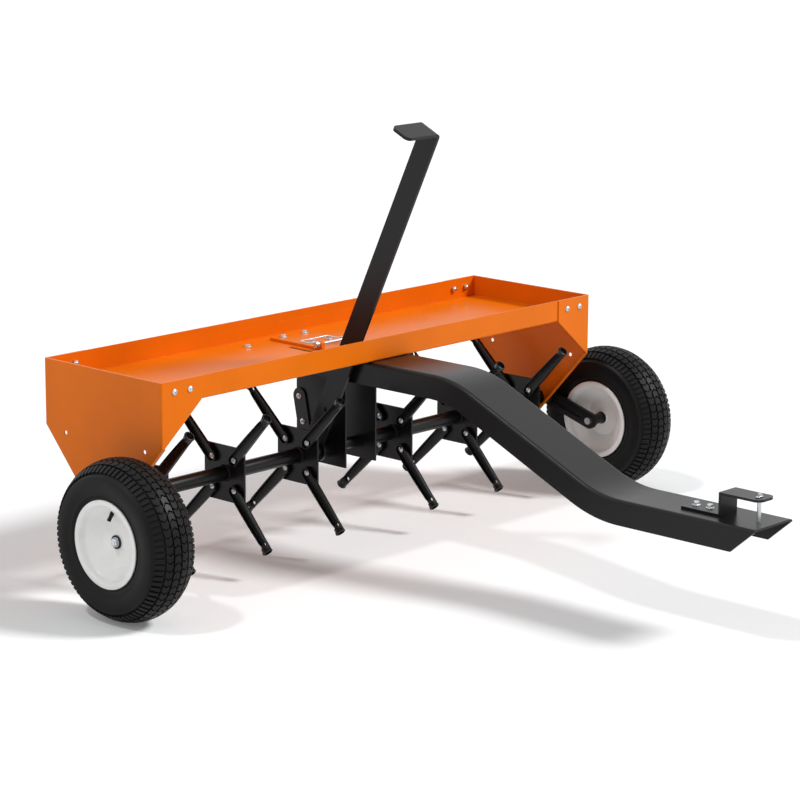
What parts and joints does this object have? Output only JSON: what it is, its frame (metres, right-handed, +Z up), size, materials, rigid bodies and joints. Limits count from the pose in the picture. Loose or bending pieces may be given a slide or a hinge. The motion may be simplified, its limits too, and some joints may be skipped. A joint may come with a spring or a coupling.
{
  "type": "tow-behind core aerator",
  "caption": "Tow-behind lawn aerator with a weight tray over spinning coring tines, transport wheels on lift arms, an upright lift handle and a stepped-down channel tow bar.",
  "frame": {"origin": "on the ground, at the middle of the machine's outline seen from above", "axes": "+Z up; -Y forward, towards the tow bar's hitch; +X across, to the right for someone who faces the machine from the front"},
  "size_m": [1.6186, 1.3604, 0.9445],
  "materials": {
    "orange_paint": "semi-gloss powder coat",
    "black_paint": "satin powder coat",
    "zinc_hardware": "bright zinc plating",
    "black_nylon": "moulded nylon",
    "tyre_rubber": "matt moulded rubber",
    "white_paint": "gloss paint",
    "valve_rubber": "moulded rubber"
  },
  "bodies": {
    "frame": {"weight_tray": "orange_paint", "end_plate_left": "orange_paint", "end_plate_right": "orange_paint", "end_plate_bolts_left": "zinc_hardware", "end_plate_bolts_right": "zinc_hardware", "end_bushes": "black_nylon", "tow_bar": "black_paint", "hanger": "black_paint", "hanger_bushes": "black_nylon", "stop_strap": "black_paint", "stop_strap_bolts": "zinc_hardware", "lock_plate": "orange_paint", "tray_bolts": "zinc_hardware", "hitch_bracket": "black_paint", "hitch_bolts": "zinc_hardware"},
    "lock_pin": {"lock_pin": "zinc_hardware"},
    "lock_wire": {"lock_wire": "zinc_hardware"},
    "hitch_pin": {"hitch_pin": "zinc_hardware", "hitch_pin_clip": "zinc_hardware"},
    "lift": {"lift_shaft": "black_paint", "lift_handle": "black_paint", "handle_hub": "black_paint", "handle_pin": "zinc_hardware", "wheel_arm_left": "black_paint", "wheel_arm_right": "black_paint", "arm_pins": "zinc_hardware", "axle_bolt_left": "zinc_hardware", "axle_bolt_right": "zinc_hardware", "axle_spacer_left": "black_paint", "axle_spacer_right": "black_paint", "axle_nut_left": "zinc_hardware", "axle_nut_right": "zinc_hardware"},
    "wheel_left": {"tyre_left": "tyre_rubber", "rim_left": "white_paint", "wheel_bushes_left": "black_nylon", "valve_stem_left": "valve_rubber"},
    "wheel_right": {"tyre_right": "tyre_rubber", "rim_right": "white_paint", "wheel_bushes_right": "black_nylon", "valve_stem_right": "valve_rubber"},
    "gang_left": {"gang_tube_left": "black_paint", "gang_bushes_left": "black_nylon", "tine_plate_1": "black_paint", "tine_plate_2": "black_paint", "tine_plate_3": "black_paint", "tines_1": "black_paint", "tines_2": "black_paint", "tines_3": "black_paint", "tine_bolts_left": "zinc_hardware"},
    "gang_right": {"gang_tube_right": "black_paint", "gang_bushes_right": "black_nylon", "tine_plate_4": "black_paint", "tine_plate_5": "black_paint", "tine_plate_6": "black_paint", "tines_4": "black_paint", "tines_5": "black_paint", "tines_6": "black_paint", "tine_bolts_right": "zinc_hardware"}
  },
  "joints": [
    {"name": "lift", "type": "hinge", "parent": "frame", "child": "lift", "pos_m": [0, 0.46575, 0.20494], "axis": [1, 0, 0], "range_deg": [-37, 0]},
    {"name": "wheel_left_spin", "type": "hinge", "parent": "lift", "child": "wheel_left", "pos_m": [-0.7513, 0.33261, 0.165], "axis": [1, 0, 0], "continuous": true},
    {"name": "wheel_right_spin", "type": "hinge", "parent": "lift", "child": "wheel_right", "pos_m": [0.7513, 0.33261, 0.165], "axis": [1, 0, 0], "continuous": true},
    {"name": "gang_left_spin", "type": "hinge", "parent": "lift", "child": "gang_left", "pos_m": [-0.37, 0.46575, 0.20494], "axis": [1, 0, 0], "continuous": true},
    {"name": "gang_right_spin", "type": "hinge", "parent": "lift", "child": "gang_right", "pos_m": [0.355, 0.46575, 0.20494], "axis": [1, 0, 0], "continuous": true},
    {"name": "lock_pin_slide", "type": "slide", "parent": "frame", "child": "lock_pin", "axis": [-1, 0, 0], "range_m": [0, 0.045]},
    {"name": "lock_wire_swing", "type": "hinge", "parent": "lock_pin", "child": "lock_wire", "pos_m": [-0.048, 0.47975, 0.43404], "axis": [1, 0, 0], "range_deg": [0, 170]},
    {"name": "hitch_pin_slide", "type": "slide", "parent": "frame", "child": "hitch_pin", "axis": [0, 0, 1], "range_m": [0, 0.075]}
  ]
}
